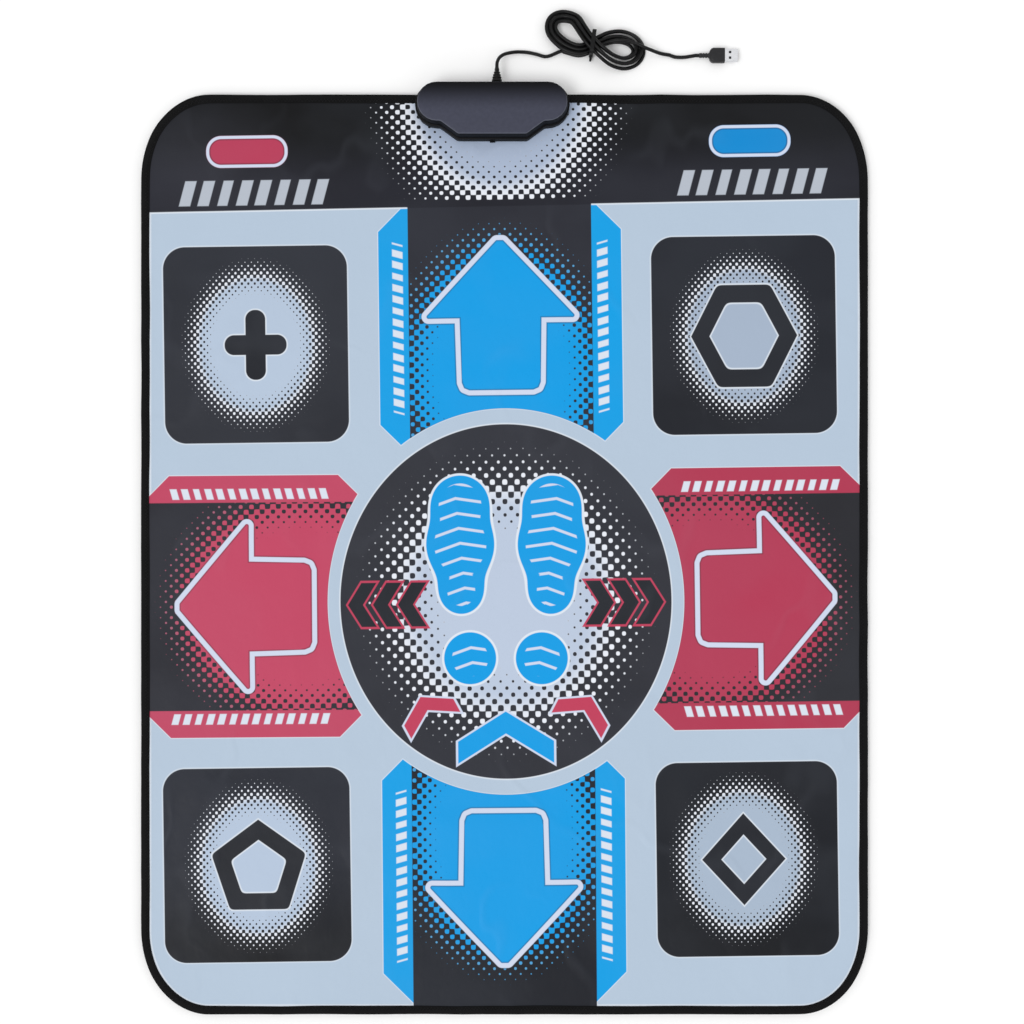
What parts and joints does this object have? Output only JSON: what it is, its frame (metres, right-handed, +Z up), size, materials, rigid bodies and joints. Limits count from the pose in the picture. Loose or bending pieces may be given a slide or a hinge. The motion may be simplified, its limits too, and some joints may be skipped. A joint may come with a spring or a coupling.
{
  "type": "dance mat controller",
  "caption": "Soft floor mat controller for dance games: sprung printed stepping zones over film contacts, a bound edge, a control box at the head and a hanked cord with its plug.",
  "frame": {"origin": "middle of the mat's underside, on the floor", "axes": "+Y towards the head of the mat, where the control box and the cord are; +X to the right of a player who faces the head; +Z up"},
  "size_m": [0.727, 1.0042, 0.0275],
  "materials": {
    "backing": "matte",
    "film": "satin",
    "foam": "matte",
    "cover_print": "satin",
    "blue_print": "satin",
    "red_print": "satin",
    "charcoal_print": "satin",
    "carbon": "matte",
    "binding": "matte",
    "box_top": "satin",
    "box_bottom": "satin",
    "screw": "satin",
    "board": "satin",
    "chip": "matte",
    "nylon": "satin",
    "cord": "satin",
    "plug_body": "satin",
    "plug_metal": "satin"
  },
  "bodies": {
    "mat": {"base_sheet": "backing", "lower_film": "film", "spacer_foam": "foam", "upper_film": "film", "top_cover": "cover_print", "edge_binding": "binding", "box_upper_shell": "box_top", "box_lower_shell": "box_bottom", "box_clamp_plate": "box_bottom", "box_screw_1": "screw", "box_screw_2": "screw", "box_screw_3": "screw", "box_screw_4": "screw", "circuit_board": "board", "controller_chip": "chip", "film_socket": "nylon", "film_tail": "film", "inner_wires": "cord", "cord_boot": "cord", "cord_lead": "cord", "cord_hank": "cord", "hank_tie": "cord", "cord_tail": "cord", "plug_overmould": "plug_body", "plug_shell": "plug_metal", "plug_tongue": "nylon"},
    "up_zone": {"up_pad": "blue_print", "up_contact": "carbon"},
    "down_zone": {"down_pad": "blue_print", "down_contact": "carbon"},
    "left_zone": {"left_pad": "red_print", "left_contact": "carbon"},
    "right_zone": {"right_pad": "red_print", "right_contact": "carbon"},
    "upper_left_zone": {"upper_left_pad": "charcoal_print", "upper_left_contact": "carbon"},
    "upper_right_zone": {"upper_right_pad": "charcoal_print", "upper_right_contact": "carbon"},
    "lower_left_zone": {"lower_left_pad": "charcoal_print", "lower_left_contact": "carbon"},
    "lower_right_zone": {"lower_right_pad": "charcoal_print", "lower_right_contact": "carbon"},
    "select_zone": {"select_pad": "red_print", "select_contact": "carbon"},
    "start_zone": {"start_pad": "blue_print", "start_contact": "carbon"}
  },
  "joints": [
    {"name": "up_press", "type": "slide", "parent": "mat", "child": "up_zone", "axis": [0, 0, -1], "range_m": [0, 0.0019], "stiffness_N_per_m": 2000, "springref_m": -0.0006},
    {"name": "down_press", "type": "slide", "parent": "mat", "child": "down_zone", "axis": [0, 0, -1], "range_m": [0, 0.0019], "stiffness_N_per_m": 2000, "springref_m": -0.0006},
    {"name": "left_press", "type": "slide", "parent": "mat", "child": "left_zone", "axis": [0, 0, -1], "range_m": [0, 0.0019], "stiffness_N_per_m": 2000, "springref_m": -0.0006},
    {"name": "right_press", "type": "slide", "parent": "mat", "child": "right_zone", "axis": [0, 0, -1], "range_m": [0, 0.0019], "stiffness_N_per_m": 2000, "springref_m": -0.0006},
    {"name": "upper_left_press", "type": "slide", "parent": "mat", "child": "upper_left_zone", "axis": [0, 0, -1], "range_m": [0, 0.0019], "stiffness_N_per_m": 2000, "springref_m": -0.0006},
    {"name": "upper_right_press", "type": "slide", "parent": "mat", "child": "upper_right_zone", "axis": [0, 0, -1], "range_m": [0, 0.0019], "stiffness_N_per_m": 2000, "springref_m": -0.0006},
    {"name": "lower_left_press", "type": "slide", "parent": "mat", "child": "lower_left_zone", "axis": [0, 0, -1], "range_m": [0, 0.0019], "stiffness_N_per_m": 2000, "springref_m": -0.0006},
    {"name": "lower_right_press", "type": "slide", "parent": "mat", "child": "lower_right_zone", "axis": [0, 0, -1], "range_m": [0, 0.0019], "stiffness_N_per_m": 2000, "springref_m": -0.0006},
    {"name": "select_press", "type": "slide", "parent": "mat", "child": "select_zone", "axis": [0, 0, -1], "range_m": [0, 0.0019], "stiffness_N_per_m": 300, "springref_m": -0.001},
    {"name": "start_press", "type": "slide", "parent": "mat", "child": "start_zone", "axis": [0, 0, -1], "range_m": [0, 0.0019], "stiffness_N_per_m": 300, "springref_m": -0.001}
  ]
}
